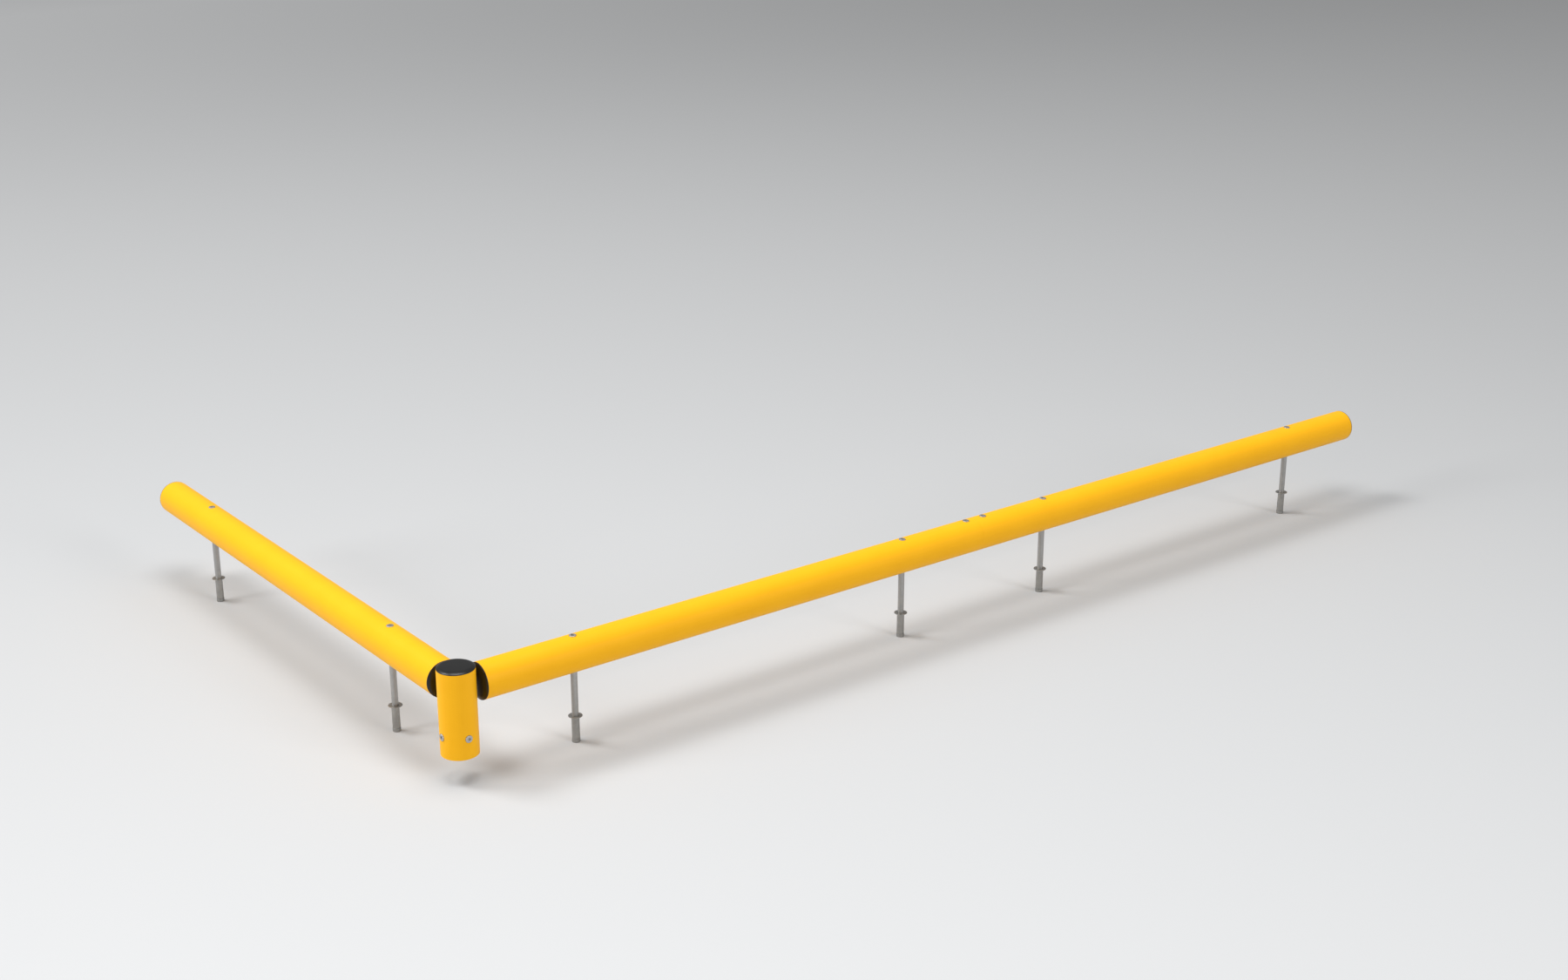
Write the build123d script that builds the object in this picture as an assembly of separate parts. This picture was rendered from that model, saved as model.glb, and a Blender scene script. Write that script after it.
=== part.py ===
from build123d import *
import math
import os

# Low corner guardrail. Round plastic rails stand on steel legs that are anchored in the floor, and the two
# arms meet at a capped corner post. Millimetres. The floor is Z = 0 and the post stands on the origin.
# The long arm runs along +X in two rails, the short arm along +Y in one.

# Plastic tube that the rails and the post are cut from
TUBE_DIAMETER = 89.0
TUBE_WALL = 6.0
RAIL_LENGTH = 1500.0
RAIL_TOP = 205.0
RAIL_START = 57.0  # from the post's axis to the near end of each arm
POST_HEIGHT = 209.0

# End cap: a low crown with a bevel round it outside the tube, a finned plug inside it
CAP_RIM = 1.8
CAP_RIM_ROUND = 0.8
CAP_BEVEL_RADIUS = 37.8
CAP_BEVEL_ROUND = 20.0
CAP_HEIGHT = 5.9
CAP_CROWN = 0.4
CAP_SKIN = 3.0
PLUG_DEPTH = 22.0
PLUG_RADIUS = 36.6
PLUG_WALL = 3.0
FIN_COUNT = 3
FIN_PITCH = 6.0
FIN_THICKNESS = 2.0
FIN_CLEARANCE = 0.05

# Flat-headed socket screw, M10, and the flat seat milled for its head in the tube
SCREW_DIAMETER = 10.0
SCREW_LENGTH = 25.0
SCREW_POINT = 1.0
HEAD_DIAMETER = 17.5
HEAD_HEIGHT = 2.4
HEAD_ROUND = 0.9
SOCKET_ACROSS_FLATS = 6.0
SOCKET_DEPTH = 2.2
SEAT_DIAMETER = 19.0
SEAT_DEPTH = 1.1
SCREW_HOLE_DIAMETER = 10.5
TAPPED_HOLE_DIAMETER = 10.2
NUT_ACROSS_FLATS = 17.0
NUT_HEIGHT = 8.0

# Leg: a rod that hangs the rail's load on a flanged expansion anchor
LEG_INSET = 250.0
ROD_DIAMETER = 16.0
ROD_CHAMFER = 1.0
ROD_HOLE_DIAMETER = 17.0
ROD_TAP_DEPTH = 26.0
TAIL_DIAMETER = 12.0
TAIL_CLEARANCE = 0.3
SHOULDER_DEPTH = 10.0
FLANGE_DIAMETER = 34.0
FLANGE_THICKNESS = 1.2
FLANGE_CHAMFER = 0.4
SLEEVE_DIAMETER = 19.0
SLEEVE_DEPTH = 57.0
SLEEVE_CLEARANCE = 0.15
TAPER_START = 40.0
TAPER_END_RADIUS = 8.6
TAPER_CLEARANCE = 0.1
SLOT_WIDTH = 1.5
SLOT_LENGTH = 27.0
SLOT_ANGLE = 143.0
CONE_TOP = 46.0
CONE_FOOT_TOP = 57.4
CONE_FOOT_DIAMETER = 20.0
CONE_FOOT_CHAMFER = 1.0
ANCHOR_DEPTH = 66.0

# Steel sleeves inside the tube: the coupler in the long arm's joint and the foot of the post
SLEEVE_FIT = 0.1
STEEL_WALL = 3.6
COUPLER_LENGTH = 140.0
COUPLER_SCREW_OFFSET = 30.0
COUPLER_CHAMFER = 1.5
FOOT_HEIGHT = 90.0
FOOT_PLATE = 8.0
FOOT_BORE_DIAMETER = 14.0
POST_SCREW_HEIGHT = 50.0
POST_SCREW_ANGLES = (0, 90, 180, 270)

# Sizes worked out from those above
TUBE_RADIUS = TUBE_DIAMETER / 2
BORE_RADIUS = TUBE_RADIUS - TUBE_WALL
RAIL_AXIS = RAIL_TOP - TUBE_RADIUS
RAIL_JOINT = RAIL_START + RAIL_LENGTH
SEAT_RADIUS = TUBE_RADIUS - SEAT_DEPTH
STEEL_RADIUS = BORE_RADIUS - SLEEVE_FIT
STEEL_BORE_RADIUS = STEEL_RADIUS - STEEL_WALL
ROD_RADIUS = ROD_DIAMETER / 2
TAIL_RADIUS = TAIL_DIAMETER / 2

SHORT_ARM = Rot(0, 0, 90)
LONG_ARM = Rot(0, 0, 0)
FROM_BOTTOM = (Align.CENTER, Align.CENTER, Align.MIN)
FROM_TOP = (Align.CENTER, Align.CENTER, Align.MAX)


def turned(points):
    """A solid turned about Z from an outline of (radius, height) points."""
    outline = make_face(Polyline(*points, close=True))
    return revolve(Plane.XZ * outline, Axis.Z)


def round_tube(outer_radius, inner_radius, length):
    """A tube that stands on Z = 0."""
    wall = Cylinder(outer_radius, length, align=FROM_BOTTOM)
    return wall - Cylinder(inner_radius, length, align=FROM_BOTTOM)


def screw_hole():
    """Cutter for one screw through a tube wall: a clearance hole with a flat seat. The tube's axis is X."""
    hole = Cylinder(SCREW_HOLE_DIAMETER / 2, TUBE_RADIUS, align=FROM_BOTTOM)
    seat = Pos(0, 0, SEAT_RADIUS) * Cylinder(SEAT_DIAMETER / 2, TUBE_WALL, align=FROM_BOTTOM)
    return hole + seat


def flat_screw():
    """Socket screw whose thin round head sits on the seat of a tube along X."""
    head = Cylinder(HEAD_DIAMETER / 2, HEAD_HEIGHT, align=FROM_BOTTOM)
    head = fillet(head.edges().sort_by(Axis.Z)[-1], HEAD_ROUND)
    shank = Cylinder(SCREW_DIAMETER / 2, SCREW_LENGTH, align=FROM_TOP)
    shank = chamfer(shank.edges().sort_by(Axis.Z)[0], SCREW_POINT)
    hexagon = RegularPolygon(SOCKET_ACROSS_FLATS / 2, 6, major_radius=False)
    socket = Pos(0, 0, HEAD_HEIGHT) * extrude(hexagon, -SOCKET_DEPTH)
    return Pos(0, 0, SEAT_RADIUS) * (head + shank - socket)


def weld_nut():
    """Hexagon nut whose two long edges meet the inner wall of a steel sleeve along X."""
    face_height = math.sqrt(STEEL_BORE_RADIUS**2 - (NUT_ACROSS_FLATS / 2) ** 2)
    hexagon = RegularPolygon(NUT_ACROSS_FLATS / 2, 6, major_radius=False)
    nut = extrude(hexagon, -NUT_HEIGHT) - Cylinder(TAPPED_HOLE_DIAMETER / 2, NUT_HEIGHT, align=FROM_TOP)
    return Pos(0, 0, face_height) * nut


def rail(coupler_screws_at=()):
    """One rail along +X from its near end, drilled for two legs and for any coupler screw."""
    body = Rot(0, 90, 0) * round_tube(TUBE_RADIUS, BORE_RADIUS, RAIL_LENGTH)
    legs_at = (LEG_INSET, RAIL_LENGTH - LEG_INSET)
    for x in (*legs_at, *coupler_screws_at):
        body -= Pos(x, 0, 0) * screw_hole()
    for x in legs_at:
        body -= Pos(x, 0, 0) * Cylinder(ROD_HOLE_DIAMETER / 2, TUBE_DIAMETER, align=FROM_TOP)
    return body


def end_cap():
    """Moulded cap that stands on a tube's rim at Z = 0, with its finned plug below."""
    crown_middle = (CAP_BEVEL_RADIUS / 2, CAP_HEIGHT - CAP_CROWN / 4)
    bevel_top = (CAP_BEVEL_RADIUS, CAP_HEIGHT - CAP_CROWN)
    crown = ThreePointArc((0, CAP_HEIGHT), crown_middle, bevel_top)
    rim_top = (TUBE_RADIUS, CAP_RIM)
    outside = [bevel_top, rim_top, (TUBE_RADIUS, 0), (PLUG_RADIUS, 0)]
    fin_tip = BORE_RADIUS - FIN_CLEARANCE
    for fin in range(1, FIN_COUNT + 1):
        fin_foot = -fin * FIN_PITCH
        fin_face = fin_foot + FIN_THICKNESS
        outside += [(PLUG_RADIUS, fin_face), (fin_tip, fin_face), (PLUG_RADIUS, fin_foot)]
    mouth = PLUG_RADIUS - PLUG_WALL
    ceiling = CAP_HEIGHT - CAP_CROWN - CAP_SKIN
    inside = [(PLUG_RADIUS, -PLUG_DEPTH), (mouth, -PLUG_DEPTH), (mouth, 0), (mouth - ceiling, ceiling)]
    inside += [(0, ceiling), (0, CAP_HEIGHT)]
    outline = make_face(crown + Polyline(*outside, *inside))
    for corner, radius in ((bevel_top, CAP_BEVEL_ROUND), (rim_top, CAP_RIM_ROUND)):
        outline = fillet(outline.vertices().sort_by_distance(corner)[0], radius)
    return revolve(Plane.XZ * outline, Axis.Z)


def leg_rod():
    """Turned bar from the rail's inner crown down to the anchor, with the floor at Z = 0."""
    crown = RAIL_AXIS + math.sqrt(BORE_RADIUS**2 - (ROD_RADIUS - ROD_CHAMFER) ** 2)
    tail_end = -CONE_FOOT_TOP
    bar = turned(
        [
            (0, tail_end),
            (TAIL_RADIUS - ROD_CHAMFER, tail_end),
            (TAIL_RADIUS, tail_end + ROD_CHAMFER),
            (TAIL_RADIUS, -SHOULDER_DEPTH),
            (ROD_RADIUS, -SHOULDER_DEPTH),
            (ROD_RADIUS, crown - ROD_CHAMFER),
            (ROD_RADIUS - ROD_CHAMFER, crown),
            (0, crown),
        ]
    )
    return bar - Pos(0, 0, crown) * Cylinder(TAPPED_HOLE_DIAMETER / 2, ROD_TAP_DEPTH, align=FROM_TOP)


def anchor_sleeve():
    """Flanged sleeve set in the floor, slotted across its lower end so that the cone nut can spread it."""
    radius = SLEEVE_DIAMETER / 2
    flange = FLANGE_DIAMETER / 2
    mouth = ROD_RADIUS + SLEEVE_CLEARANCE
    throat = TAIL_RADIUS + TAIL_CLEARANCE
    sleeve = turned(
        [
            (mouth, FLANGE_THICKNESS),
            (flange - FLANGE_CHAMFER, FLANGE_THICKNESS),
            (flange, FLANGE_THICKNESS - FLANGE_CHAMFER),
            (flange, 0),
            (radius, 0),
            (radius, -SLEEVE_DEPTH),
            (TAPER_END_RADIUS, -SLEEVE_DEPTH),
            (throat, -TAPER_START),
            (throat, -SHOULDER_DEPTH),
            (mouth, -SHOULDER_DEPTH),
        ]
    )
    slot = Pos(0, 0, -SLEEVE_DEPTH) * Box(FLANGE_DIAMETER, SLOT_WIDTH, SLOT_LENGTH, align=FROM_BOTTOM)
    return sleeve - Rot(0, 0, SLOT_ANGLE) * slot


def cone_nut():
    """Blind nut on the rod's tail. Its cone lies in the sleeve's taper and its foot is the leg's end."""
    foot = CONE_FOOT_DIAMETER / 2
    taper = (TAPER_END_RADIUS - TAIL_RADIUS - TAIL_CLEARANCE) / (SLEEVE_DEPTH - TAPER_START)
    cone_top_radius = TAPER_END_RADIUS - TAPER_CLEARANCE - taper * (SLEEVE_DEPTH - CONE_TOP)
    cone_base_radius = TAPER_END_RADIUS - TAPER_CLEARANCE
    return turned(
        [
            (TAIL_RADIUS, -CONE_TOP),
            (cone_top_radius, -CONE_TOP),
            (cone_base_radius, -SLEEVE_DEPTH),
            (cone_base_radius, -CONE_FOOT_TOP),
            (foot, -CONE_FOOT_TOP),
            (foot, CONE_FOOT_CHAMFER - ANCHOR_DEPTH),
            (foot - CONE_FOOT_CHAMFER, -ANCHOR_DEPTH),
            (0, -ANCHOR_DEPTH),
            (0, -CONE_FOOT_TOP),
            (TAIL_RADIUS, -CONE_FOOT_TOP),
        ]
    )


def rail_coupler():
    """Steel sleeve along X, centred on the joint, with a lead-in at both ends."""
    half = COUPLER_LENGTH / 2
    lead_in = STEEL_RADIUS - COUPLER_CHAMFER
    sleeve = Rot(0, 90, 0) * turned(
        [
            (STEEL_BORE_RADIUS, -half),
            (lead_in, -half),
            (STEEL_RADIUS, COUPLER_CHAMFER - half),
            (STEEL_RADIUS, half - COUPLER_CHAMFER),
            (lead_in, half),
            (STEEL_BORE_RADIUS, half),
        ]
    )
    for x in (-COUPLER_SCREW_OFFSET, COUPLER_SCREW_OFFSET):
        sleeve -= Pos(x, 0, 0) * screw_hole()
    return sleeve


def around_post(angle):
    """Place on the post's wall: local Z points outwards and local X lies along the post."""
    return Pos(0, 0, POST_SCREW_HEIGHT) * Rot(0, 0, angle) * Rot(0, 90, 0)


def corner_post():
    """Upright tube with a screw hole in each of its four sides near the floor."""
    post = round_tube(TUBE_RADIUS, BORE_RADIUS, POST_HEIGHT)
    for angle in POST_SCREW_ANGLES:
        post -= around_post(angle) * screw_hole()
    return post


def post_foot():
    """Steel cup inside the post, welded to a round floor plate with one bolt hole."""
    foot = Cylinder(STEEL_RADIUS, FOOT_HEIGHT, align=FROM_BOTTOM)
    foot -= Pos(0, 0, FOOT_PLATE) * Cylinder(STEEL_BORE_RADIUS, FOOT_HEIGHT, align=FROM_BOTTOM)
    foot -= Cylinder(FOOT_BORE_DIAMETER / 2, FOOT_HEIGHT, align=FROM_BOTTOM)
    for angle in POST_SCREW_ANGLES:
        foot -= around_post(angle) * screw_hole()
    return foot


nodes = {}

# Rails, with the coupler screws beside the joint of the long arm
short_start = SHORT_ARM * Pos(RAIL_START, 0, RAIL_AXIS)
long_start = LONG_ARM * Pos(RAIL_START, 0, RAIL_AXIS)
long_joint = LONG_ARM * Pos(RAIL_JOINT, 0, RAIL_AXIS)
nodes["rail_left"] = short_start * rail()
nodes["rail_near"] = long_start * rail([RAIL_LENGTH - COUPLER_SCREW_OFFSET])
nodes["rail_far"] = long_joint * rail([COUPLER_SCREW_OFFSET])

# Coupler inside the joint, its nuts and its screws
coupler_places = [long_joint * Pos(x, 0, 0) for x in (-COUPLER_SCREW_OFFSET, COUPLER_SCREW_OFFSET)]
nodes["rail_coupler"] = long_joint * rail_coupler()
nodes["coupler_nuts"] = Compound(children=[place * weld_nut() for place in coupler_places])
nodes["coupler_screws"] = Compound(children=[place * flat_screw() for place in coupler_places])

# Corner post, its foot, its nuts and its screws
post_places = [around_post(angle) for angle in POST_SCREW_ANGLES]
nodes["corner_post"] = corner_post()
nodes["post_foot"] = post_foot()
nodes["foot_nuts"] = Compound(children=[place * weld_nut() for place in post_places])
nodes["post_screws"] = Compound(children=[place * flat_screw() for place in post_places])

# One cap design closes the post and the four free rail ends
facing_post = Rot(0, -90, 0)
facing_away = Rot(0, 90, 0)
short_end = short_start * Pos(RAIL_LENGTH, 0, 0)
long_end = long_joint * Pos(RAIL_LENGTH, 0, 0)
nodes["post_cap"] = Pos(0, 0, POST_HEIGHT) * end_cap()
nodes["cap_left_near"] = short_start * facing_post * end_cap()
nodes["cap_left_far"] = short_end * facing_away * end_cap()
nodes["cap_right_near"] = long_start * facing_post * end_cap()
nodes["cap_right_far"] = long_end * facing_away * end_cap()

# Legs, numbered from the post outwards, the short arm first
legs = []
for start in (short_start, long_start, long_joint):
    for inset in (LEG_INSET, RAIL_LENGTH - LEG_INSET):
        legs.append(start * Pos(inset, 0, 0))
for number, leg in enumerate(legs, start=1):
    on_floor = Pos(leg.position.X, leg.position.Y, 0)
    nodes[f"leg_rod_{number}"] = on_floor * leg_rod()
    nodes[f"anchor_sleeve_{number}"] = on_floor * anchor_sleeve()
    nodes[f"cone_nut_{number}"] = on_floor * cone_nut()
nodes["leg_screws"] = Compound(children=[leg * flat_screw() for leg in legs])

os.makedirs("parts", exist_ok=True)
for name, shape in nodes.items():
    export_step(shape, f"parts/{name}.step")
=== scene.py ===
import math

import bpy
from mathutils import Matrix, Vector


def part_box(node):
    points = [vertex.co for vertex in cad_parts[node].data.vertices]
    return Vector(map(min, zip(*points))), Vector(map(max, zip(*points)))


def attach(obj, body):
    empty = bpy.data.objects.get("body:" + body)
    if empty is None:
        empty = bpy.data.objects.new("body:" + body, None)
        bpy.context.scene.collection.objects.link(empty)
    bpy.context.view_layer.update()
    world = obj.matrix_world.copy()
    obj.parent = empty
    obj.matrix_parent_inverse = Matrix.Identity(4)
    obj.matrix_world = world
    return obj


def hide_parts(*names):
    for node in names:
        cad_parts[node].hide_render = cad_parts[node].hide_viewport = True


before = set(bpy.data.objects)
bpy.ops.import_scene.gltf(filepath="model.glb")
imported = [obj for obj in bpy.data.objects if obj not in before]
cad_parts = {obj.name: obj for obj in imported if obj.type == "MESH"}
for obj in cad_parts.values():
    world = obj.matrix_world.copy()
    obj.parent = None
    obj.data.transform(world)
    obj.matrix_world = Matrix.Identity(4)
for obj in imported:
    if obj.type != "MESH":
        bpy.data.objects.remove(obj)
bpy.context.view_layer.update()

# Low corner guardrail: yellow plastic tubes on steel legs, with a capped corner post between its two arms.
# Metres. The floor is Z = 0, the post stands on the origin, and the leg anchors reach below the floor.

# Anchor sleeves: turned from steel bar, with a thin flange on top and a slit across the foot, zinc plated.
# Each one drops into a drilled hole until its flange lies on the floor.
MM = 0.001
UPWARDS = Vector((0, 0, 1))
LEG_NUMBERS = range(1, 7)
AXIS_GAP = 0.001 * MM
MERGE_GAP = 0.005 * MM
SHARP_ANGLE = math.radians(28)
ROUNDING_STEPS = 6


def middle(node):
    """Centre of a node's box."""
    low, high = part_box(node)
    return (low + high) / 2


def rounded(corners):
    """Outline points from (radius, height, rounding) corners. A rounded corner becomes a short curve."""
    points = []
    befores = corners[-1:] + corners[:-1]
    afters = corners[1:] + corners[:1]
    for before, (radius, height, rounding), after in zip(befores, corners, afters):
        corner = Vector((radius, height))
        if not rounding:
            points.append(corner)
            continue
        start = corner + (Vector(before[:2]) - corner).normalized() * rounding
        end = corner + (Vector(after[:2]) - corner).normalized() * rounding
        for step in range(ROUNDING_STEPS + 1):
            share = step / ROUNDING_STEPS
            points.append(start.lerp(corner, share).lerp(corner.lerp(end, share), share))
    return points


def outline(name, points, closed=False):
    """Half section of a turned piece as a curve. Points are (radius, height) and run down its outside."""
    curve = bpy.data.curves.new(name, "CURVE")
    curve.dimensions = "3D"
    spline = curve.splines.new("POLY")
    spline.points.add(len(points) - 1)
    for spot, (radius, height) in zip(spline.points, points):
        spot.co = (radius, -height, 0, 1)
    spline.use_cyclic_u = closed
    return bpy.data.objects.new(name, curve)


def set_of_places(name, places):
    """Points that each know the outward direction of what is set there."""
    points = bpy.data.meshes.new(name)
    points.from_pydata([point for point, outward in places], [], [])
    directions = points.attributes.new("outward", "FLOAT_VECTOR", "POINT")
    for entry, (point, outward) in zip(directions.data, places):
        entry.vector = outward
    return bpy.data.objects.new(name, points)


def piece_tree(name, inputs):
    """Geometry tree that starts from a piece's places and has a named input for each size."""
    tree = bpy.data.node_groups.new(name, "GeometryNodeTree")
    tree.interface.new_socket("Places", in_out="INPUT", socket_type="NodeSocketGeometry")
    for label, kind in inputs.items():
        tree.interface.new_socket(label, in_out="INPUT", socket_type="NodeSocket" + kind)
    tree.interface.new_socket("Finish", in_out="INPUT", socket_type="NodeSocketMaterial")
    tree.interface.new_socket("Piece", in_out="OUTPUT", socket_type="NodeSocketGeometry")
    return tree, tree.nodes.new("NodeGroupInput").outputs


def add(tree, kind, inputs, **settings):
    """Adds a node. Each input is a plain value or the socket that feeds it."""
    node = tree.nodes.new(kind)
    for label, value in settings.items():
        setattr(node, label, value)
    for label, value in inputs.items():
        if isinstance(value, bpy.types.NodeSocket):
            tree.links.new(value, node.inputs[label])
        else:
            node.inputs[label].default_value = value
    return node.outputs


def merged(tree, body):
    """Joins points that lie in one place, which closes seams and poles and removes slivers."""
    inputs = {"Geometry": body, "Distance": MERGE_GAP}
    return add(tree, "GeometryNodeMergeByDistance", inputs)["Geometry"]


def turn(tree, section, facets):
    """Turns an outline about the Z axis into a closed mesh."""
    profile = add(tree, "GeometryNodeObjectInfo", {"Object": section})["Geometry"]
    ring = {"Resolution": facets, "Radius": AXIS_GAP}
    axis = add(tree, "GeometryNodeCurvePrimitiveCircle", ring)["Curve"]
    shell = add(tree, "GeometryNodeCurveToMesh", {"Curve": axis, "Profile Curve": profile})["Mesh"]
    return merged(tree, shell)


def cut(tree, body, cutter):
    """Takes a cutter's shape out of a mesh."""
    inputs = {"Mesh 1": body, "Mesh 2": cutter}
    settings = {"operation": "DIFFERENCE", "solver": "EXACT"}
    return merged(tree, add(tree, "GeometryNodeMeshBoolean", inputs, **settings)["Mesh"])


def moved(tree, body, translation=(0, 0, 0), rotation=(0, 0, 0)):
    """Shifts and turns a mesh inside a tree."""
    inputs = {"Geometry": body, "Translation": translation, "Rotation": rotation}
    return add(tree, "GeometryNodeTransform", inputs)["Geometry"]


def calculate(tree, operation, first, second=0.0):
    """One sum inside a tree."""
    return add(tree, "ShaderNodeMath", {0: first, 1: second}, operation=operation)["Value"]


def shaded(tree, body):
    """Smooth faces between sharp edges."""
    faces = {"Geometry": body, "Shade Smooth": True}
    smooth = add(tree, "GeometryNodeSetShadeSmooth", faces)["Geometry"]
    angle = add(tree, "GeometryNodeInputMeshEdgeAngle", {})["Unsigned Angle"]
    sharp = calculate(tree, "GREATER_THAN", angle, SHARP_ANGLE)
    edges = {"Geometry": smooth, "Selection": sharp, "Shade Smooth": False}
    return add(tree, "GeometryNodeSetShadeSmooth", edges, domain="EDGE")["Geometry"]


def set_out(tree, places, body):
    """One real copy of a mesh at each place, with its Z axis along the outward direction."""
    named = {"Name": "outward"}
    stored = add(tree, "GeometryNodeInputNamedAttribute", named, data_type="FLOAT_VECTOR")
    aim = {"Vector": stored["Attribute"]}
    rotation = add(tree, "FunctionNodeAlignRotationToVector", aim, axis="Z")["Rotation"]
    inputs = {"Points": places, "Instance": body, "Rotation": rotation}
    copies = add(tree, "GeometryNodeInstanceOnPoints", inputs)["Instances"]
    return add(tree, "GeometryNodeRealizeInstances", {"Geometry": copies})["Geometry"]


def end_tree(tree, given, body):
    """Ends a tree with the piece's finish."""
    coat = {"Geometry": body, "Material": given["Finish"]}
    finished = add(tree, "GeometryNodeSetMaterial", coat)["Geometry"]
    tree.links.new(finished, tree.nodes.new("NodeGroupOutput").inputs["Piece"])


def make(name, tree, places, sizes):
    """Runs a tree on a piece's places and keeps the result as a plain mesh."""
    piece = set_of_places(name, places)
    bpy.context.scene.collection.objects.link(piece)
    modifier = piece.modifiers.new(name, "NODES")
    modifier.node_group = tree
    for socket in tree.interface.items_tree:
        if socket.in_out == "INPUT" and socket.name in sizes:
            modifier[socket.identifier] = sizes[socket.name]
    evaluated = piece.evaluated_get(bpy.context.evaluated_depsgraph_get())
    mesh = bpy.data.meshes.new_from_object(evaluated)
    piece.modifiers.remove(modifier)
    piece.data = mesh
    return piece


def install(piece, slot, *nodes):
    """Fixes a piece to the guardrail in the place of its nodes."""
    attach(piece, "root")
    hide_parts(*nodes)


NOISE_LOW = 0.3
NOISE_HIGH = 0.7
NOISE_DETAIL = 3.0
CLOUD_SCALE = 90
LATHE_RINGS = (40, 40, 2600)
RING_ROUGHNESS = 0.06
RING_STRENGTH = 0.12
RING_DEPTH = 0.1 * MM

# Where a mix node keeps its two colours and the colour that comes out.
FIRST_COLOUR = 6
SECOND_COLOUR = 7
MIXED_COLOUR = 2


def new_finish(name):
    """A material with its node tree and main shader."""
    material = bpy.data.materials.new(name)
    material.use_nodes = True
    return material, material.node_tree, material.node_tree.nodes["Principled BSDF"]


def grain(tree, scale, stretch=(1, 1, 1)):
    """Noise on the piece's own coordinates, finer along the axes that stretch enlarges."""
    coordinates = add(tree, "ShaderNodeTexCoord", {})["Object"]
    mapped = add(tree, "ShaderNodeMapping", {"Vector": coordinates, "Scale": stretch})["Vector"]
    noise = {"Vector": mapped, "Scale": scale, "Detail": NOISE_DETAIL}
    return add(tree, "ShaderNodeTexNoise", noise)["Fac"]


def spread(tree, value, low, high):
    """Stretches the middle of a noise, where most of it lies, to run from low to high."""
    inputs = {
        "Value": value,
        "From Min": NOISE_LOW,
        "From Max": NOISE_HIGH,
        "To Min": low,
        "To Max": high,
    }
    return add(tree, "ShaderNodeMapRange", inputs)["Result"]


def blend_colours(tree, share, first, second):
    """Colour that runs from the first to the second."""
    inputs = {"Factor": share, FIRST_COLOUR: (*first, 1), SECOND_COLOUR: (*second, 1)}
    return add(tree, "ShaderNodeMix", inputs, data_type="RGBA")[MIXED_COLOUR]


def dent(tree, shader, height, strength, depth, under=None):
    """Fine relief on a surface, on top of any relief that is there already."""
    inputs = {"Height": height, "Strength": strength, "Distance": depth}
    if under is not None:
        inputs["Normal"] = under
    normal = add(tree, "ShaderNodeBump", inputs)["Normal"]
    tree.links.new(normal, shader.inputs["Normal"])
    return normal


def zinc_plate(name, pale, dark, roughness):
    """Zinc on turned steel: cloudy patches over the fine rings that the lathe tool leaves."""
    material, tree, shader = new_finish(name)
    clouds = spread(tree, grain(tree, CLOUD_SCALE), 0, 1)
    rings = grain(tree, 1, stretch=LATHE_RINGS)
    tree.links.new(blend_colours(tree, clouds, dark, pale), shader.inputs["Base Color"])
    matt = spread(tree, rings, roughness - RING_ROUGHNESS, roughness + RING_ROUGHNESS)
    tree.links.new(matt, shader.inputs["Roughness"])
    shader.inputs["Metallic"].default_value = 1.0
    dent(tree, shader, rings, RING_STRENGTH, RING_DEPTH)
    return material


leg_middles = [middle(f"leg_rod_{number}") for number in LEG_NUMBERS]
leg_feet = [(Vector((leg.x, leg.y, 0)), UPWARDS) for leg in leg_middles]

sleeve_low, sleeve_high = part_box("anchor_sleeve_1")
flange_width = sleeve_high.y - sleeve_low.y
flange_radius = flange_width / 2
flange_top = sleeve_high.z
sleeve_end = sleeve_low.z
SLEEVE_RADIUS = 9.5 * MM
SLEEVE_MOUTH = 8.15 * MM
SLEEVE_THROAT = 6.3 * MM
SLEEVE_STEP = -10 * MM
TAPER_START = -40 * MM
TAPER_END_RADIUS = 8.6 * MM
FLANGE_EDGE = 0.35 * MM
TURNED_EDGE = 0.2 * MM
TURNED_FACETS = 72
sleeve_outline = outline(
    "sleeve_outline",
    rounded(
        [
            (SLEEVE_MOUTH, flange_top, TURNED_EDGE),
            (flange_radius, flange_top, FLANGE_EDGE),
            (flange_radius, 0, TURNED_EDGE),
            (SLEEVE_RADIUS, 0, TURNED_EDGE),
            (SLEEVE_RADIUS, sleeve_end, TURNED_EDGE),
            (TAPER_END_RADIUS, sleeve_end, 0),
            (SLEEVE_THROAT, TAPER_START, 0),
            (SLEEVE_THROAT, SLEEVE_STEP, 0),
            (SLEEVE_MOUTH, SLEEVE_STEP, 0),
        ]
    ),
    closed=True,
)

sleeve_tree, given = piece_tree(
    "slit_sleeve",
    {
        "Outline": "Object",
        "Facets": "Int",
        "Slit size": "Vector",
        "Slit middle": "Vector",
        "Slit turn": "Float",
    },
)
sleeve = turn(sleeve_tree, given["Outline"], given["Facets"])
slit = add(sleeve_tree, "GeometryNodeMeshCube", {"Size": given["Slit size"]})["Mesh"]
slit_turn = add(sleeve_tree, "ShaderNodeCombineXYZ", {"Z": given["Slit turn"]})["Vector"]
slit = moved(sleeve_tree, slit, translation=given["Slit middle"], rotation=slit_turn)
sleeve = cut(sleeve_tree, sleeve, slit)
end_tree(sleeve_tree, given, set_out(sleeve_tree, given["Places"], shaded(sleeve_tree, sleeve)))

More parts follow.
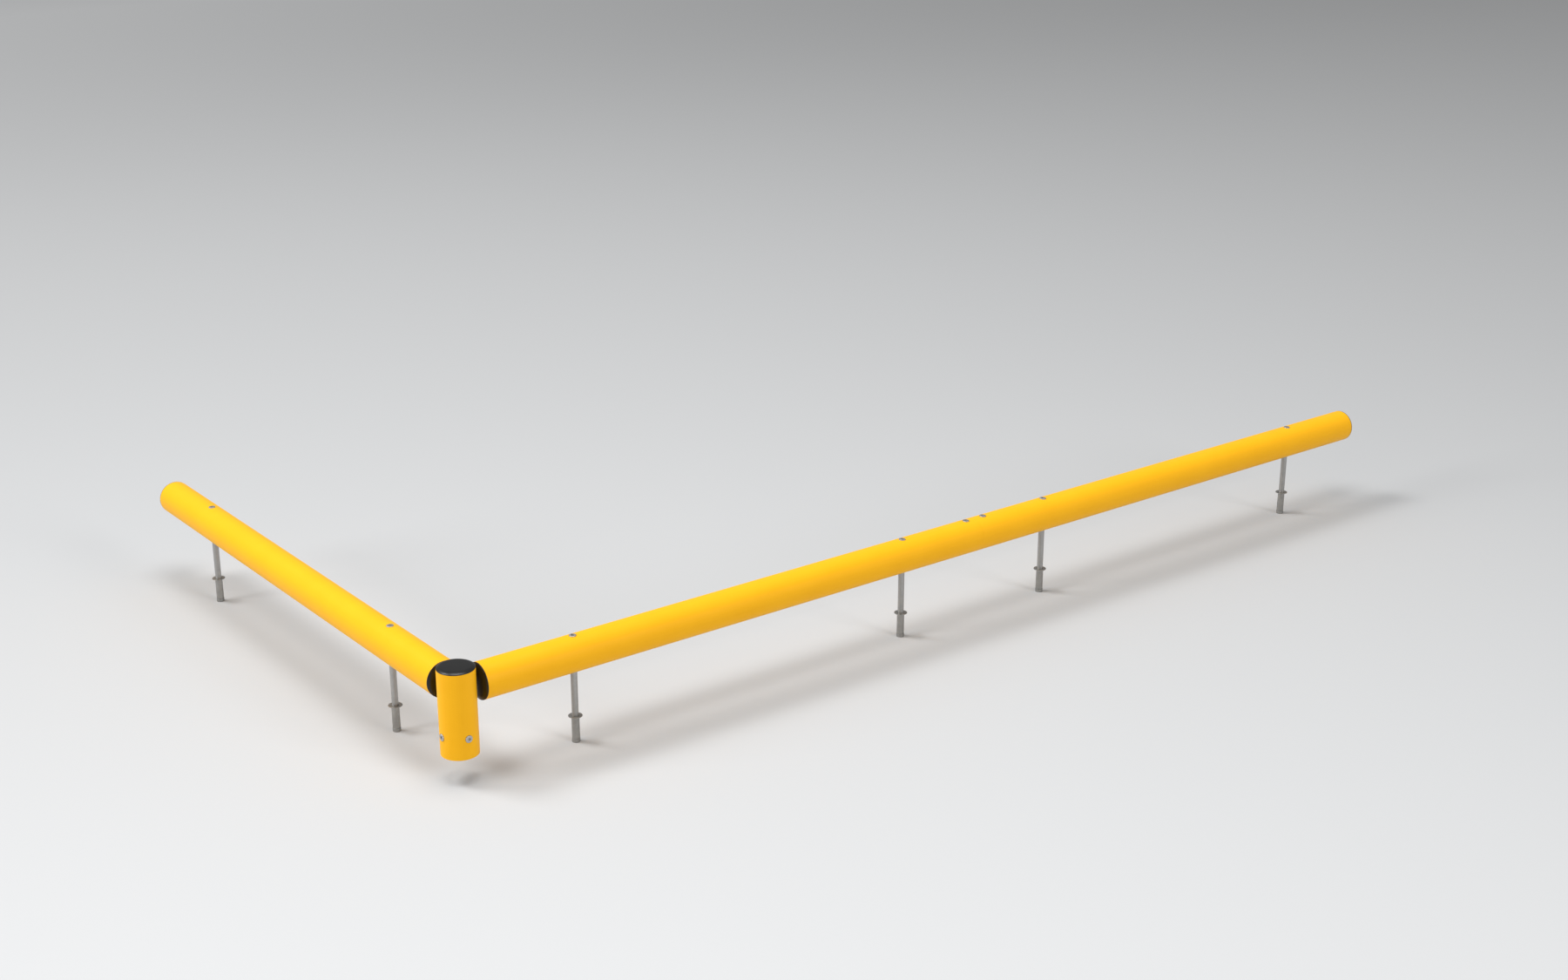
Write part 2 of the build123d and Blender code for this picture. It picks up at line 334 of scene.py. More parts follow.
SLIT_WIDTH = 1.5 * MM
SLIT_LENGTH = 27 * MM
SLIT_OVERRUN = 5 * MM
SLIT_TURN = math.radians(143)
ZINC_ROUGHNESS = 0.48
# Painted shade: the zinc of the anchor sleeves and cone nuts is a little darker than the leg rods' zinc, for
# the shade round the flanges down at the floor.
ANCHOR_SHADED_PALE = (0.42, 0.413, 0.395)
ANCHOR_SHADED_DARK = (0.36, 0.355, 0.34)
shaded_anchor_zinc = zinc_plate("shaded_anchor_zinc", ANCHOR_SHADED_PALE, ANCHOR_SHADED_DARK, ZINC_ROUGHNESS)
anchor_sleeves = make(
    "anchor_sleeves",
    sleeve_tree,
    leg_feet,
    {
        "Outline": sleeve_outline,
        "Facets": TURNED_FACETS,
        "Slit size": (2 * flange_width, SLIT_WIDTH, SLIT_LENGTH + SLIT_OVERRUN),
        "Slit middle": (0, 0, sleeve_end + (SLIT_LENGTH - SLIT_OVERRUN) / 2),
        "Slit turn": SLIT_TURN,
        "Finish": shaded_anchor_zinc,
    },
)
install(anchor_sleeves, "anchor_steel", *[f"anchor_sleeve_{number}" for number in LEG_NUMBERS])

# Cone nuts: turned steel, zinc plated, tapped for the leg rod's tail. Tightening draws the cone up into the
# slit sleeve and locks it in the floor. The foot is the leg's lower end.
nut_low, nut_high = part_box("cone_nut_1")
nut_foot_radius = (nut_high.y - nut_low.y) / 2
CONE_TOP_RADIUS = 7 * MM
CONE_BASE_RADIUS = 8.5 * MM
NUT_BORE = 6 * MM
NUT_FOOT_HEIGHT = 8.6 * MM
NUT_FOOT_EDGE = 1 * MM
nut_foot_top = nut_low.z + NUT_FOOT_HEIGHT
nut_outline = outline(
    "nut_outline",
    rounded(
        [
            (0, nut_foot_top, 0),
            (NUT_BORE, nut_foot_top, 0),
            (NUT_BORE, nut_high.z, 0),
            (CONE_TOP_RADIUS, nut_high.z, TURNED_EDGE),
            (CONE_BASE_RADIUS, sleeve_end, 0),
            (CONE_BASE_RADIUS, nut_foot_top, 0),
            (nut_foot_radius, nut_foot_top, TURNED_EDGE),
            (nut_foot_radius, nut_low.z, NUT_FOOT_EDGE),
            (0, nut_low.z, 0),
        ]
    ),
)

turned_tree, given = piece_tree("turned_piece", {"Outline": "Object", "Facets": "Int"})
turned = shaded(turned_tree, turn(turned_tree, given["Outline"], given["Facets"]))
end_tree(turned_tree, given, set_out(turned_tree, given["Places"], turned))
cone_nuts = make(
    "cone_nuts",
    turned_tree,
    leg_feet,
    {"Outline": nut_outline, "Facets": TURNED_FACETS, "Finish": shaded_anchor_zinc},
)
install(cone_nuts, "anchor_steel", *[f"cone_nut_{number}" for number in LEG_NUMBERS])

# Leg rods: round steel bar, turned down and threaded at the tail for the cone nut, and tapped at the top
# for a screw. The shoulder stands in the sleeve, and the top end meets the crown of the tube's bore.
rod_low, rod_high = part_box("leg_rod_1")
rod_radius = (rod_high.y - rod_low.y) / 2
ROD_EDGE = 1 * MM
TAIL_RADIUS = 6 * MM
TAIL_PITCH = 1.75 * MM
TAPPED_RADIUS = 5.1 * MM
TAPPED_DEPTH = 26 * MM
ROWS_PER_TURN = 6
HALF_TURN = 0.5
THREAD_DEPTH = 0.55
ON_THREAD = 0.99
LEG_PALE = (0.45, 0.443, 0.43)
LEG_DARK = (0.40, 0.395, 0.385)


def rows_down(radius, top, bottom, step):
    """Evenly spaced outline points between two heights, without the ends."""
    count = round(abs(top - bottom) / step)
    return [Vector((radius, top + (bottom - top) * row / count)) for row in range(1, count)]


def thread(tree, body, given):
    """Presses a helical thread into the shank between two heights. Its depth is a share of the pitch."""
    position = add(tree, "GeometryNodeInputPosition", {})["Position"]
    along = add(tree, "ShaderNodeSeparateXYZ", {"Vector": position})
    angle = calculate(tree, "ARCTAN2", along["Y"], along["X"])
    pitches = calculate(tree, "DIVIDE", along["Z"], given["Pitch"])
    turns = calculate(tree, "SUBTRACT", pitches, calculate(tree, "DIVIDE", angle, math.tau))
    zigzag = calculate(tree, "PINGPONG", turns, HALF_TURN)
    steepness = calculate(tree, "MULTIPLY", given["Pitch"], -THREAD_DEPTH / HALF_TURN)
    inset = calculate(tree, "MULTIPLY", zigzag, steepness)
    across = add(tree, "ShaderNodeCombineXYZ", {"X": along["X"], "Y": along["Y"]})["Vector"]
    outwards = add(tree, "ShaderNodeVectorMath", {0: across}, operation="NORMALIZE")["Vector"]
    shift = {0: outwards, "Scale": inset}
    offset = add(tree, "ShaderNodeVectorMath", shift, operation="SCALE")["Vector"]
    reach = add(tree, "ShaderNodeVectorMath", {0: across}, operation="LENGTH")["Value"]
    rim = calculate(tree, "MULTIPLY", given["Thread radius"], ON_THREAD)
    below_top = calculate(tree, "LESS_THAN", along["Z"], given["Thread top"])
    above_bottom = calculate(tree, "GREATER_THAN", along["Z"], given["Thread bottom"])
    chosen = calculate(tree, "MULTIPLY", below_top, above_bottom)
    chosen = calculate(tree, "MULTIPLY", chosen, calculate(tree, "GREATER_THAN", reach, rim))
    inputs = {"Geometry": body, "Selection": chosen, "Offset": offset}
    return add(tree, "GeometryNodeSetPosition", inputs)["Geometry"]


rod_top = rounded(
    [
        (0, rod_high.z - TAPPED_DEPTH, 0),
        (TAPPED_RADIUS, rod_high.z - TAPPED_DEPTH, 0),
        (TAPPED_RADIUS, rod_high.z, 0),
        (rod_radius, rod_high.z, ROD_EDGE),
        (rod_radius, SLEEVE_STEP, TURNED_EDGE),
        (TAIL_RADIUS, SLEEVE_STEP, 0),
    ]
)
rod_tail = rounded(
    [
        (TAIL_RADIUS, SLEEVE_STEP, 0),
        (TAIL_RADIUS, rod_low.z, ROD_EDGE),
        (0, rod_low.z, 0),
    ]
)
tail_rows = rows_down(TAIL_RADIUS, SLEEVE_STEP, rod_low.z + ROD_EDGE, TAIL_PITCH / ROWS_PER_TURN)
rod_outline = outline("rod_outline", rod_top + tail_rows + rod_tail[1:])

THREAD_SIZES = {
    "Thread top": "Float",
    "Thread bottom": "Float",
    "Thread radius": "Float",
    "Pitch": "Float",
}
rod_tree, given = piece_tree("threaded_bar", {"Outline": "Object", "Facets": "Int", **THREAD_SIZES})
rod = thread(rod_tree, turn(rod_tree, given["Outline"], given["Facets"]), given)
end_tree(rod_tree, given, set_out(rod_tree, given["Places"], shaded(rod_tree, rod)))
leg_zinc = zinc_plate("leg_zinc", LEG_PALE, LEG_DARK, ZINC_ROUGHNESS)
leg_rods = make(
    "leg_rods",
    rod_tree,
    leg_feet,
    {
        "Outline": rod_outline,
        "Facets": TURNED_FACETS,
        "Thread top": SLEEVE_STEP - TAIL_PITCH,
        "Thread bottom": rod_low.z + ROD_EDGE,
        "Thread radius": TAIL_RADIUS,
        "Pitch": TAIL_PITCH,
        "Finish": leg_zinc,
    },
)
install(leg_rods, "leg_steel", *[f"leg_rod_{number}" for number in LEG_NUMBERS])

# Rails: three lengths of extruded plastic tube, yellow all through. Each is drilled below for its two leg
# rods and above for their screws, with a flat seat milled round each screw hole. The long arm's two rails
# meet end to end.
rail_low, rail_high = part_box("rail_left")
tube_radius = (rail_high.z - rail_low.z) / 2
rail_axis = (rail_high.z + rail_low.z) / 2
TUBE_WALL = 6 * MM
TUBE_EDGE = 0.25 * MM
TUBE_FACETS = 144
TUBE_ROW = 25 * MM
HOLE_ROW = 1.9 * MM
HOLE_ZONE = 15.5 * MM
SCREW_HOLE_RADIUS = 5.25 * MM
SEAT_RADIUS = 9.5 * MM
SEAT_DEPTH = 1.1 * MM
ROD_HOLE_RADIUS = 8.5 * MM
HOLE_FACETS = 64
YELLOW_DEEP = (0.95, 0.462, 0.008)
YELLOW_PALE = (0.98, 0.489, 0.011)
PIGMENT_SCALE = 14
PIGMENT_SHARE = 0.6
DIE_LINE_SHARE = 0.4
DIE_LINES_ALONG = 3
DIE_LINES_ACROSS = 420
DIE_LINE_STRENGTH = 0.08
SKIN_SCALE = 900
SKIN_STRENGTH = 0.05
TUBE_RELIEF = 0.1 * MM
TUBE_ROUGHNESS = (0.40, 0.50)
TUBE_SHINE = 0.12
bore_radius = tube_radius - TUBE_WALL
seat_height = tube_radius - SEAT_DEPTH


def tube_plastic(name, along):
    """Satin plastic with the faint lengthwise lines of an extrusion die and slightly cloudy pigment."""
    material, tree, shader = new_finish(name)
    stretch = [DIE_LINES_ALONG if part else DIE_LINES_ACROSS for part in along]
    die_lines = grain(tree, 1, stretch)
    clouds = spread(tree, grain(tree, PIGMENT_SCALE), 0, PIGMENT_SHARE)
    pigment = calculate(tree, "ADD", clouds, spread(tree, die_lines, 0, DIE_LINE_SHARE))
    colour = blend_colours(tree, pigment, YELLOW_DEEP, YELLOW_PALE)
    tree.links.new(colour, shader.inputs["Base Color"])
    tree.links.new(spread(tree, die_lines, *TUBE_ROUGHNESS), shader.inputs["Roughness"])
    shader.inputs["Specular IOR Level"].default_value = TUBE_SHINE
    drawn = dent(tree, shader, die_lines, DIE_LINE_STRENGTH, TUBE_RELIEF)
    dent(tree, shader, grain(tree, SKIN_SCALE), SKIN_STRENGTH, TUBE_RELIEF, under=drawn)
    return material


def tube_rows(length, holes):
    """Heights of the rows of faces along a tube, close together at each hole so that it shades evenly."""
    count = round(length / TUBE_ROW)
    rows = [length * row / count for row in range(1, count)]
    rows = [row for row in rows if all(abs(row - hole) > HOLE_ZONE for hole in holes)]
    steps = int(HOLE_ZONE / HOLE_ROW)
    for hole in holes:
        rows += [hole + step * HOLE_ROW for step in range(-steps, steps + 1)]
    return sorted(rows)


def tube_outline(name, length, holes):
    """Half section of a tube that stands on Z = 0, with holes at some heights."""
    corners = [(bore_radius, length, TUBE_EDGE), (tube_radius, length, TUBE_EDGE)]
    rows = tube_rows(length, holes)
    corners += [(tube_radius, row, 0) for row in reversed(rows)]
    corners += [(tube_radius, 0, TUBE_EDGE), (bore_radius, 0, TUBE_EDGE)]
    corners += [(bore_radius, row, 0) for row in rows]
    return outline(name, rounded(corners), closed=True)


def drill(tree, places, radius, start):
    """Round cutters, as long as the tube's radius, that begin at a height above each place."""
    sizes = {"Vertices": HOLE_FACETS, "Radius": radius, "Depth": tube_radius}
    bit = add(tree, "GeometryNodeMeshCylinder", sizes)["Mesh"]
    lift = calculate(tree, "ADD", start, tube_radius / 2)
    upwards = add(tree, "ShaderNodeCombineXYZ", {"Z": lift})["Vector"]
    points = add(tree, "GeometryNodeObjectInfo", {"Object": places})["Geometry"]
    return set_out(tree, points, moved(tree, bit, translation=upwards))


tube_tree, given = piece_tree(
    "drilled_tube",
    {
        "Outline": "Object",
        "Facets": "Int",
        "Screw holes": "Object",
        "Screw hole radius": "Float",
        "Seat radius": "Float",
        "Seat height": "Float",
        "Rod holes": "Object",
        "Rod hole radius": "Float",
    },
)
tube = turn(tube_tree, given["Outline"], given["Facets"])
tube = set_out(tube_tree, given["Places"], tube)
screw_holes = drill(tube_tree, given["Screw holes"], given["Screw hole radius"], 0.0)
screw_seats = drill(tube_tree, given["Screw holes"], given["Seat radius"], given["Seat height"])
rod_holes = drill(tube_tree, given["Rod holes"], given["Rod hole radius"], 0.0)
for cutter in (screw_holes, screw_seats, rod_holes):
    tube = cut(tube_tree, tube, cutter)
drilled = {"Geometry": shaded(tube_tree, tube)}
end_tree(tube_tree, given, add(tube_tree, "GeometryNodeRealizeInstances", drilled)["Geometry"])


def drilled_tube(node, along, screw_places, rod_places, finish):
    """One tube in the place of its node, with its holes."""
    low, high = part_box(node)
    length = (high - low).dot(along)
    start = middle(node) - along * length / 2
    holes = {(point - start).dot(along) for point, outward in screw_places}
    sizes = {
        "Outline": tube_outline(node + "_outline", length, holes),
        "Facets": TUBE_FACETS,
        "Screw holes": set_of_places(node + "_screw_holes", screw_places),
        "Screw hole radius": SCREW_HOLE_RADIUS,
        "Seat radius": SEAT_RADIUS,
        "Seat height": seat_height,
        "Rod holes": set_of_places(node + "_rod_holes", rod_places),
        "Rod hole radius": ROD_HOLE_RADIUS,
        "Finish": finish,
    }
    tube = make(node + "_tube", tube_tree, [(start, along)], sizes)
    install(tube, "yellow_plastic", node)


ALONG_LEFT = Vector((0, 1, 0))
ALONG_RIGHT = Vector((1, 0, 0))
leg_tops = [(Vector((leg.x, leg.y, rail_axis)), UPWARDS) for leg in leg_middles]
leg_entries = [(point, -UPWARDS) for point, outward in leg_tops]
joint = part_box("rail_far")[0].x
COUPLER_SCREW_OFFSET = 30 * MM
coupler_spots = [joint - COUPLER_SCREW_OFFSET, joint + COUPLER_SCREW_OFFSET]
coupler_tops = [(Vector((spot, 0, rail_axis)), UPWARDS) for spot in coupler_spots]
left_yellow = tube_plastic("left_yellow", ALONG_LEFT)
right_yellow = tube_plastic("right_yellow", ALONG_RIGHT)
near_tops = leg_tops[2:4] + coupler_tops[:1]
far_tops = leg_tops[4:] + coupler_tops[1:]
drilled_tube("rail_left", ALONG_LEFT, leg_tops[:2], leg_entries[:2], left_yellow)
drilled_tube("rail_near", ALONG_RIGHT, near_tops, leg_entries[2:4], right_yellow)
drilled_tube("rail_far", ALONG_RIGHT, far_tops, leg_entries[4:], right_yellow)

# Corner post: a short upright length of the same tube, with a screw hole and seat on each of its four sides.
# It slips over the steel foot that is bolted to the floor.
POST_SCREW_HEIGHT = 50 * MM
SIDES = (ALONG_RIGHT, ALONG_LEFT, -ALONG_RIGHT, -ALONG_LEFT)
post_sides = [(UPWARDS * POST_SCREW_HEIGHT, side) for side in SIDES]
post_yellow = tube_plastic("post_yellow", UPWARDS)
drilled_tube("corner_post", UPWARDS, post_sides, [], post_yellow)

# Screws: thin round heads with a hexagon socket, turned and thread-rolled from stainless steel. One holds
# each leg rod to its rail, two hold the coupler in the long arm, and four hold the post to its foot.
HEAD_RADIUS = 8.75 * MM
HEAD_HEIGHT = 2.4 * MM
HEAD_ROUND = 1.0 * MM
SHANK_RADIUS = 5 * MM
SHANK_LENGTH = 25 * MM
SHANK_POINT = 1 * MM
SCREW_PITCH = 1.5 * MM
SOCKET_WIDTH = 6 * MM
SOCKET_DEPTH = 2.2 * MM
SOCKET_MOUTH = 0.35 * MM
HEXAGON = 6
SCREW_FACETS = 60
STEEL_DARK = (0.46, 0.452, 0.435)
STEEL_PALE = (0.53, 0.522, 0.505)
SMEAR_SCALE = 260
SCREW_GRAIN = 2200
SCREW_GRAIN_STRENGTH = 0.06
SCREW_GRAIN_DEPTH = 0.05 * MM
SCREW_ROUGHNESS = (0.44, 0.54)


def screw_stainless():
    """Stainless steel with dull smears and a very fine grain."""
    material, tree, shader = new_finish("screw_stainless")
    smears = spread(tree, grain(tree, SMEAR_SCALE), 0, 1)
    colour = blend_colours(tree, smears, STEEL_DARK, STEEL_PALE)
    tree.links.new(colour, shader.inputs["Base Color"])
    tree.links.new(spread(tree, smears, *SCREW_ROUGHNESS), shader.inputs["Roughness"])
    shader.inputs["Metallic"].default_value = 1.0
    dent(tree, shader, grain(tree, SCREW_GRAIN), SCREW_GRAIN_STRENGTH, SCREW_GRAIN_DEPTH)
    return material


head_top = seat_height + HEAD_HEIGHT
shank_end = seat_height - SHANK_LENGTH
screw_head = rounded(
    [
        (0, head_top, 0),
        (HEAD_RADIUS, head_top, HEAD_ROUND),
        (HEAD_RADIUS, seat_height, TURNED_EDGE),
        (SHANK_RADIUS, seat_height, 0),
    ]
)
screw_point = rounded(
    [
        (SHANK_RADIUS, seat_height, 0),
        (SHANK_RADIUS, shank_end, SHANK_POINT),
        (0, shank_end, 0),
    ]
)
row_step = SCREW_PITCH / ROWS_PER_TURN
screw_rows = rows_down(SHANK_RADIUS, seat_height, shank_end + SHANK_POINT, row_step)
screw_outline = outline("screw_outline", screw_head + screw_rows + screw_point[1:])

screw_tree, given = piece_tree(
    "socket_screw",
    {
        "Outline": "Object",
        "Facets": "Int",
        **THREAD_SIZES,
        "Socket radius": "Float",
        "Socket depth": "Float",
        "Socket mouth": "Float",
        "Head top": "Float",
    },
)
screw = thread(screw_tree, turn(screw_tree, given["Outline"], given["Facets"]), given)

# The hexagon cutter is centred on the head's top, so it is twice as long as the socket is deep.
key_length = calculate(screw_tree, "ADD", given["Socket depth"], given["Socket depth"])
key_sizes = {"Vertices": HEXAGON, "Radius": given["Socket radius"], "Depth": key_length}
key = add(screw_tree, "GeometryNodeMeshCylinder", key_sizes)["Mesh"]
at_head_top = add(screw_tree, "ShaderNodeCombineXYZ", {"Z": given["Head top"]})["Vector"]
screw = cut(screw_tree, screw, moved(screw_tree, key, translation=at_head_top))

# A cone opens the socket's mouth, from just outside its corners at the head's top down to its flats.
mouth_radius = calculate(screw_tree, "ADD", given["Socket radius"], given["Socket mouth"])
flat_share = math.cos(math.pi / HEXAGON)
flat_radius = calculate(screw_tree, "MULTIPLY", given["Socket radius"], flat_share)
mouth_depth = calculate(screw_tree, "SUBTRACT", mouth_radius, flat_radius)
mouth_sizes = {
    "Vertices": HOLE_FACETS,
    "Radius Top": mouth_radius,
    "Radius Bottom": flat_radius,
    "Depth": mouth_depth,
}
mouth = add(screw_tree, "GeometryNodeMeshCone", mouth_sizes)["Mesh"]
mouth_floor = calculate(screw_tree, "SUBTRACT", given["Head top"], mouth_depth)
at_mouth = add(screw_tree, "ShaderNodeCombineXYZ", {"Z": mouth_floor})["Vector"]
screw = cut(screw_tree, screw, moved(screw_tree, mouth, translation=at_mouth))
end_tree(screw_tree, given, set_out(screw_tree, given["Places"], shaded(screw_tree, screw)))

screw_sizes = {
    "Outline": screw_outline,
    "Facets": SCREW_FACETS,
    "Thread top": seat_height - SCREW_PITCH,
    "Thread bottom": shank_end + SHANK_POINT,
    "Thread radius": SHANK_RADIUS,
    "Pitch": SCREW_PITCH,
    "Socket radius": SOCKET_WIDTH / math.sqrt(3),
    "Socket depth": SOCKET_DEPTH,
    "Socket mouth": SOCKET_MOUTH,
    "Head top": head_top,
    "Finish": screw_stainless(),
}
screw_places = {
    "leg_screws": leg_tops,
    "coupler_screws": coupler_tops,
    "post_screws": post_sides,
}
for node, places in screw_places.items():
    install(make(node + "_set", screw_tree, places, screw_sizes), "screw_steel", node)

# Steel inside the tubes: the coupler sleeve in the long arm's joint, the cup foot of the post with its
# floor plate, and the hexagon nuts welded inside both for the screws. All hot-dip galvanised after welding.
SPANGLE_SCALE = 170
SPANGLE_DARK = (0.42, 0.43, 0.44)
SPANGLE_PALE = (0.56, 0.57, 0.58)
SPANGLE_ROUGHNESS = (0.38, 0.56)
DIP_GRAIN = 320
DIP_STRENGTH = 0.1
DIP_DEPTH = 0.2 * MM


def hot_dip_zinc():
    """Hot-dip galvanised steel: spangles of differing grey with a soft sheen."""
    material, tree, shader = new_finish("hot_dip_zinc")
    coordinates = add(tree, "ShaderNodeTexCoord", {})["Object"]
    cells = {"Vector": coordinates, "Scale": SPANGLE_SCALE}
    spangles = add(tree, "ShaderNodeTexVoronoi", cells)["Color"]
    shade = add(tree, "ShaderNodeSeparateColor", {"Color": spangles})["Red"]
    colour = blend_colours(tree, shade, SPANGLE_DARK, SPANGLE_PALE)
    tree.links.new(colour, shader.inputs["Base Color"])
    smoothest, roughest = SPANGLE_ROUGHNESS
    levels = {"Value": shade, "To Min": smoothest, "To Max": roughest}
    tree.links.new(add(tree, "ShaderNodeMapRange", levels)["Result"], shader.inputs["Roughness"])
    shader.inputs["Metallic"].default_value = 1.0
    dent(tree, shader, grain(tree, DIP_GRAIN), DIP_STRENGTH, DIP_DEPTH)
    return material


galvanised = hot_dip_zinc()
for node in ("rail_coupler", "coupler_nuts", "post_foot", "foot_nuts"):
    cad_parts[node].material_slots[0].material = galvanised

# End caps: moulded black plastic with a low crown, a bevel and a thin rim, and a finned plug that grips
# the tube's bore. Five of one mould close the post and the four free rail ends.
CAP_RIM = 1.8 * MM
CAP_HEIGHT = 5.9 * MM
CAP_CROWN = 0.4 * MM
CAP_BEVEL_RADIUS = 37.8 * MM
CAP_BEVEL_ROUND = 4.9 * MM
CAP_RIM_ROUND = 0.47 * MM
CAP_SKIN = 3 * MM
CAP_EDGE = 0.3 * MM
PLUG_RADIUS = 36.6 * MM
PLUG_WALL = 3 * MM
PLUG_DEPTH = 22 * MM
FIN_COUNT = 3
FIN_PITCH = 6 * MM
FIN_THICKNESS = 2 * MM
FIN_CLEARANCE = 0.05 * MM
CAP_FACETS = 144
CROWN_STEPS = 10
BLACK_DEEP = (0.0025, 0.0025, 0.0026)
BLACK_PALE = (0.0036, 0.0036, 0.0038)
CAP_TONE_SCALE = 35
CAP_GRAIN = 1500
CAP_GRAIN_STRENGTH = 0.05
CAP_GRAIN_DEPTH = 0.08 * MM
CAP_ROUGHNESS = (0.31, 0.37)
CAP_SHINE = 0.45


def cap_plastic():
    """Black moulded plastic with the fine matt grain of a spark-eroded mould."""
    material, tree, shader = new_finish("cap_black")
    tone = spread(tree, grain(tree, CAP_TONE_SCALE), 0, 1)
    colour = blend_colours(tree, tone, BLACK_DEEP, BLACK_PALE)
    tree.links.new(colour, shader.inputs["Base Color"])
    tree.links.new(spread(tree, tone, *CAP_ROUGHNESS), shader.inputs["Roughness"])
    shader.inputs["Specular IOR Level"].default_value = CAP_SHINE
    dent(tree, shader, grain(tree, CAP_GRAIN), CAP_GRAIN_STRENGTH, CAP_GRAIN_DEPTH)
    return material


def cap_section():
    """Outline of a cap that stands on a tube's rim at height 0, from the crown down round the plug."""
    corners = []
    for step in range(CROWN_STEPS):
        radius = (CAP_BEVEL_RADIUS - CAP_BEVEL_ROUND) * step / CROWN_STEPS
        corners.append((radius, CAP_HEIGHT - CAP_CROWN * (radius / CAP_BEVEL_RADIUS) ** 2, 0))
    bevel_top = CAP_HEIGHT - CAP_CROWN
    corners.append((CAP_BEVEL_RADIUS, bevel_top, CAP_BEVEL_ROUND))
    corners.append((tube_radius, CAP_RIM, CAP_RIM_ROUND))
    corners += [(tube_radius, 0, CAP_EDGE), (PLUG_RADIUS, 0, 0)]
    for fin in range(1, FIN_COUNT + 1):
        root = -fin * FIN_PITCH
        corners.append((PLUG_RADIUS, root + FIN_THICKNESS, 0))
        corners.append((bore_radius - FIN_CLEARANCE, root + FIN_THICKNESS, CAP_EDGE))
        corners.append((PLUG_RADIUS, root, 0))
    mouth = PLUG_RADIUS - PLUG_WALL
    ceiling = bevel_top - CAP_SKIN
    corners += [(PLUG_RADIUS, -PLUG_DEPTH, CAP_EDGE), (mouth, -PLUG_DEPTH, CAP_EDGE)]
    corners += [(mouth, 0, 0), (mouth - ceiling, ceiling, 0), (0, ceiling, 0)]
    return rounded(corners)


near_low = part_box("rail_near")[0]
far_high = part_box("rail_far")[1]
post_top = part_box("corner_post")[1].z
cap_places = {
    "post_cap": (UPWARDS * post_top, UPWARDS),
    "cap_left_near": (Vector((0, rail_low.y, rail_axis)), -ALONG_LEFT),
    "cap_left_far": (Vector((0, rail_high.y, rail_axis)), ALONG_LEFT),
    "cap_right_near": (Vector((near_low.x, 0, rail_axis)), -ALONG_RIGHT),
    "cap_right_far": (Vector((far_high.x, 0, rail_axis)), ALONG_RIGHT),
}
cap_sizes = {
    "Outline": outline("cap_outline", cap_section()),
    "Facets": CAP_FACETS,
    "Finish": cap_plastic(),
}
for node, cap_place in cap_places.items():
    install(make(node + "_moulding", turned_tree, [cap_place], cap_sizes), "black_plastic", node)

# Studio: a pale floor under the anchors' ends, with painted light that makes it paler towards the front and
# far to the back, and soft boxes behind, on the left, in front and overhead, with the camera where the
# photograph was taken from.
FLOOR_SIZE = 120.0
FLOOR_GREY = (0.480, 0.486, 0.492)
FLOOR_PAINTED_LIGHT = (0.602, 0.609, 0.616)
FLOOR_FRONT = (-0.611, -0.792, 0)
FRONT_PAINTED_LIGHT = (-4.0, 0.8)
FLOOR_BACK = (0, 1, 0)
BACK_PAINTED_LIGHT = (6.8, 13.2)
FADE_CURVE = 2.0
LIT_POINT = Vector((1.0, 0.45, 0.1))
WORLD_STRENGTH = 0.36
CAMERA_LENS = 50
CAMERA_SENSOR = 36
CAMERA_PLACE = (-2.1217, -3.9475, 2.2365)
CAMERA_TILT = math.radians(70.031)
CAMERA_HEADING = math.radians(-37.648)


def fade(tree, direction, start, end):
    """Share that grows from 0 to 1 between two distances along a direction, slowly at first."""
    spot = add(tree, "ShaderNodeTexCoord", {})["Object"]
    pair = {0: spot, 1: direction}
    distance = add(tree, "ShaderNodeVectorMath", pair, operation="DOT_PRODUCT")["Value"]
    inputs = {"Value": distance, "From Min": start, "From Max": end}
    share = add(tree, "ShaderNodeMapRange", inputs)["Result"]
    return calculate(tree, "POWER", share, FADE_CURVE)


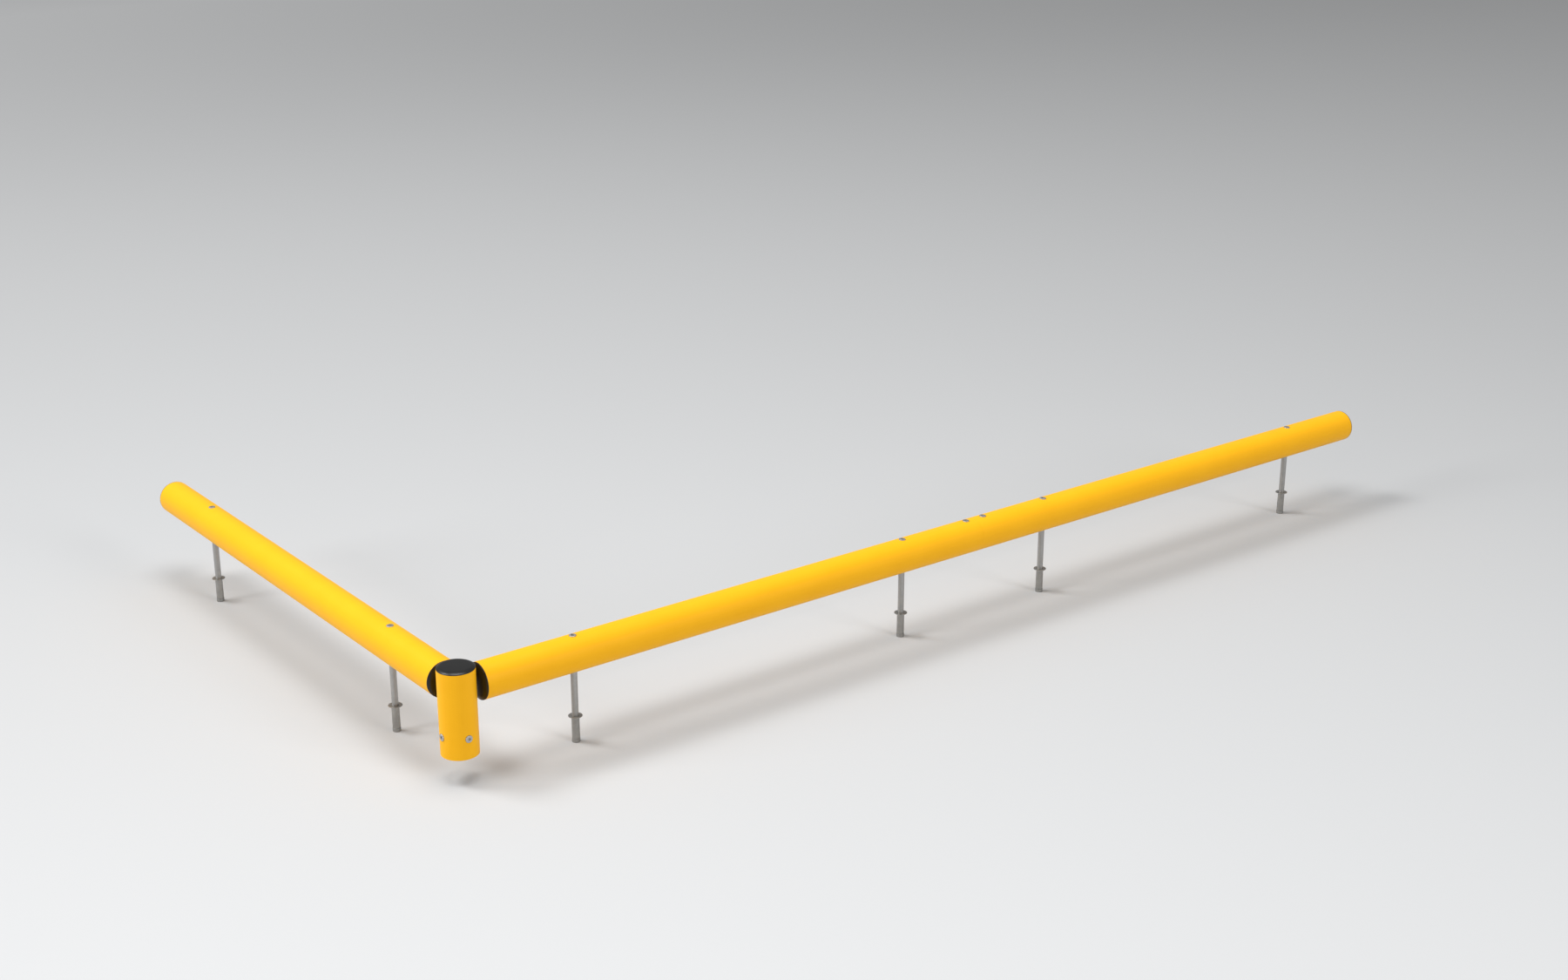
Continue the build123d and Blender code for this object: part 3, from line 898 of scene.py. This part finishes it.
def studio_floor():
    """Matt floor of pale grey, with painted light that makes it a little paler at the front and far to the
    back.
    """
    material, tree, shader = new_finish("studio_floor")
    # Painted light: the floor's colour grows paler towards the front and far to the back, standing in for
    # more light falling there.
    front = fade(tree, FLOOR_FRONT, *FRONT_PAINTED_LIGHT)
    back = fade(tree, FLOOR_BACK, *BACK_PAINTED_LIGHT)
    painted_light = calculate(tree, "MAXIMUM", front, back)
    colour = blend_colours(tree, painted_light, FLOOR_GREY, FLOOR_PAINTED_LIGHT)
    tree.links.new(colour, shader.inputs["Base Color"])
    shader.inputs["Roughness"].default_value = 1.0
    shader.inputs["Specular IOR Level"].default_value = 0.0
    half = FLOOR_SIZE / 2
    mesh = bpy.data.meshes.new("studio_floor")
    square = ((-half, -half), (half, -half), (half, half), (-half, half))
    mesh.from_pydata([(x, y, nut_low.z) for x, y in square], [], [(0, 1, 2, 3)])
    mesh.materials.append(material)
    floor = bpy.data.objects.new("studio_floor", mesh)
    bpy.context.scene.collection.objects.link(floor)
    return floor


def soft_box(name, azimuth, elevation, distance, size, power):
    """Square soft box that faces the guardrail. Azimuth is measured from +X towards +Y."""
    compass = math.radians(azimuth)
    height = math.radians(elevation)
    level = Vector((math.cos(compass), math.sin(compass), 0))
    outwards = level * math.cos(height) + UPWARDS * math.sin(height)
    lamp = bpy.data.lights.new(name, "AREA")
    lamp.shape = "SQUARE"
    lamp.size = size
    lamp.energy = power
    holder = bpy.data.objects.new(name, lamp)
    holder.location = LIT_POINT + outwards * distance
    holder.rotation_euler = outwards.to_track_quat("Z", "Y").to_euler()
    holder.visible_camera = False
    bpy.context.scene.collection.objects.link(holder)


studio_floor()
soft_box("key_light", azimuth=134, elevation=55, distance=16.0, size=4.5, power=1120)
soft_box("left_light", azimuth=165, elevation=21, distance=24.0, size=8.0, power=2250)
soft_box("front_light", azimuth=284, elevation=24, distance=24.0, size=8.0, power=1660)
soft_box("top_light", azimuth=220, elevation=84, distance=7.0, size=3.6, power=260)

world = bpy.data.worlds.new("studio")
world.use_nodes = True
background = world.node_tree.nodes["Background"]
background.inputs["Color"].default_value = (1, 1, 1, 1)
background.inputs["Strength"].default_value = WORLD_STRENGTH
bpy.context.scene.world = world

camera = bpy.data.objects.new("camera", bpy.data.cameras.new("camera"))
camera.data.lens = CAMERA_LENS
camera.data.sensor_width = CAMERA_SENSOR
camera.location = CAMERA_PLACE
camera.rotation_euler = (CAMERA_TILT, 0, CAMERA_HEADING)
bpy.context.scene.collection.objects.link(camera)
bpy.context.scene.camera = camera
bpy.context.scene.view_settings.view_transform = "Standard"
